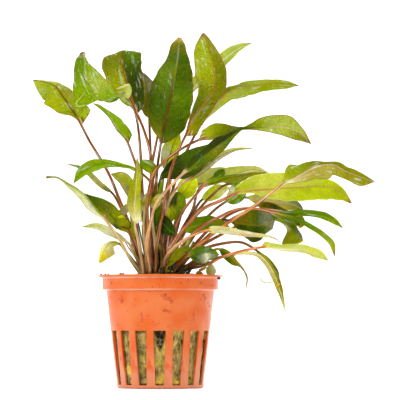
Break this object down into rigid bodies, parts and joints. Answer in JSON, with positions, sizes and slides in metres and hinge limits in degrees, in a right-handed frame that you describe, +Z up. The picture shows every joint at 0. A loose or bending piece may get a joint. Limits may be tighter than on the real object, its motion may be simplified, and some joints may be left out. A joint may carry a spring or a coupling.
{
  "type": "potted aquarium plant",
  "caption": "Aquarium plant with long narrow wavy leaves on thin stalks, rooted in a rock-wool plug inside a slotted round net pot with a flat lip",
  "frame": {"origin": "the middle of the pot's foot, on the surface that it stands on", "axes": "+Z up along the pot's axis, -Y toward the picture's viewer, +X to the viewer's right, where the longest leaves reach"},
  "size_m": [0.1502, 0.0873, 0.1589],
  "materials": {
    "pot": "moulded, slightly translucent satin",
    "rock_wool": "damp mineral fibre",
    "rootstock": "wet and dark",
    "leaf_lime": "wet glossy leaf tissue",
    "leaf_yellow": "wet glossy leaf tissue",
    "leaf_bright": "wet glossy leaf tissue",
    "leaf_middle": "wet glossy leaf tissue",
    "leaf_dark": "wet glossy leaf tissue",
    "leaf_olive": "wet glossy leaf tissue",
    "leaf_pale": "wet glossy leaf tissue"
  },
  "bodies": {
    "root": {"pot": "pot", "plug": "rock_wool", "crown": "rootstock", "leaf_far_left_high": "leaf_yellow", "leaf_folded_left": "leaf_bright", "leaf_hanging_left": "leaf_bright", "leaf_broad_top": "leaf_bright", "leaf_grey_behind": "leaf_middle", "leaf_tall_middle": "leaf_middle", "leaf_tall_right": "leaf_yellow", "leaf_back_pale": "leaf_pale", "leaf_upper_right": "leaf_bright", "leaf_twisted_right": "leaf_pale", "leaf_big_dark": "leaf_dark", "leaf_dark_wavy": "leaf_middle", "leaf_olive_curled": "leaf_olive", "leaf_backlit": "leaf_lime", "leaf_bright_middle": "leaf_lime", "leaf_rounded_green": "leaf_middle", "leaf_small_behind": "leaf_yellow", "leaf_dark_low": "leaf_dark", "leaf_front_pale": "leaf_pale", "leaf_left_arching": "leaf_bright", "leaf_small_glossy": "leaf_bright", "leaf_curled_left": "leaf_middle", "leaf_olive_left": "leaf_olive", "leaf_long_left": "leaf_pale", "leaf_dark_left": "leaf_olive", "leaf_pale_low_left": "leaf_pale", "leaf_yellow_low_left": "leaf_yellow", "leaf_rightmost": "leaf_bright", "leaf_big_lime": "leaf_lime", "leaf_pale_back_right": "leaf_pale", "leaf_thin_dark": "leaf_dark", "leaf_small_round": "leaf_bright", "leaf_glossy_lobe": "leaf_bright", "leaf_lime_behind": "leaf_lime", "leaf_drooping_dark": "leaf_dark", "leaf_right_green": "leaf_bright", "leaf_right_curved": "leaf_middle", "leaf_olive_mid": "leaf_olive", "leaf_back_olive": "leaf_olive", "leaf_pale_narrow": "leaf_pale", "leaf_yellow_tip": "leaf_yellow", "leaf_pale_low_right": "leaf_pale", "leaf_arching_low_right": "leaf_olive", "leaf_arching_dark": "leaf_dark", "leaf_small_tail": "leaf_middle", "leaf_dark_glossy_low": "leaf_dark", "leaf_at_rim": "leaf_lime", "leaf_dark_middle_right": "leaf_middle", "leaf_yellow_green_low": "leaf_yellow", "leaf_olive_centre_left": "leaf_olive", "leaf_olive_centre_right": "leaf_olive", "leaf_hidden_middle": "leaf_middle"}
  },
  "joints": []
}
